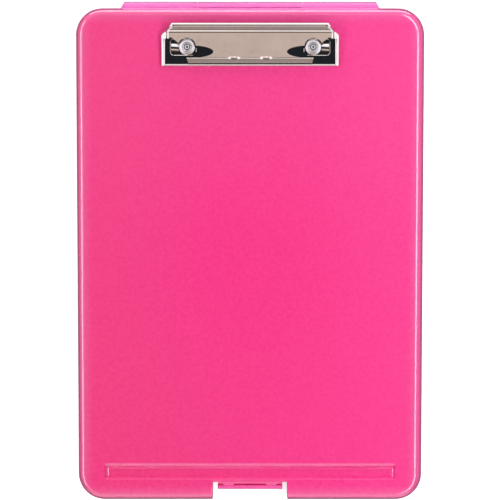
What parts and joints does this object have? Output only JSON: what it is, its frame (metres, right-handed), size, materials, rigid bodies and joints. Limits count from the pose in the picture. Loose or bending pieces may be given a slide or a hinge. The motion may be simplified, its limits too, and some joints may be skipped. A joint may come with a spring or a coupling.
{
  "type": "storage clipboard",
  "caption": "Slim storage clipboard: a hinged moulded cover with a low-profile sprung steel clip, a pen groove and a bottom latch closes a shallow tray for letter-size sheets.",
  "frame": {"origin": "centre of the rear face outline, on the rear face", "axes": "+X to the right seen from the front, +Y towards the clip and the hinge, +Z out of the writing face"},
  "size_m": [0.2414, 0.3487, 0.0317],
  "materials": {
    "tray_plastic": "gloss moulded, slightly translucent pink",
    "cover_plastic": "gloss moulded, slightly translucent pink",
    "latch_plastic": "gloss moulded pink",
    "clip_base_steel": "bright nickel plate",
    "clip_lever_steel": "bright nickel plate",
    "rivet_steel": "nickel plate, slightly worn",
    "pin_steel": "drawn wire",
    "spring_steel": "oiled spring wire"
  },
  "bodies": {
    "tray": {"rear_tray": "tray_plastic", "hinge_pin_left": "pin_steel", "hinge_pin_right": "pin_steel"},
    "cover": {"front_cover": "cover_plastic", "clip_base": "clip_base_steel", "clip_pivot_rod": "pin_steel", "clip_spring_left": "spring_steel", "clip_spring_right": "spring_steel", "clip_rivet_left": "rivet_steel", "clip_rivet_right": "rivet_steel", "rivet_washer_left": "pin_steel", "rivet_washer_right": "pin_steel", "latch_pin": "pin_steel"},
    "lever": {"clip_lever": "clip_lever_steel"},
    "latch": {"latch": "latch_plastic"}
  },
  "joints": [
    {"name": "cover_hinge", "type": "hinge", "parent": "tray", "child": "cover", "pos_m": [0, 0.1743, 0.0126], "axis": [-1, 0, 0], "range_deg": [0, 180]},
    {"name": "clip_lever_pivot", "type": "hinge", "parent": "cover", "child": "lever", "pos_m": [0, 0.1534, 0.0245], "axis": [-1, 0, 0], "range_deg": [0, 35], "stiffness_Nm_per_rad": 0.4, "springref_deg": -40.11},
    {"name": "latch_pivot", "type": "hinge", "parent": "cover", "child": "latch", "pos_m": [0, -0.16, 0.0179], "axis": [-1, 0, 0], "range_deg": [0, 20]}
  ]
}
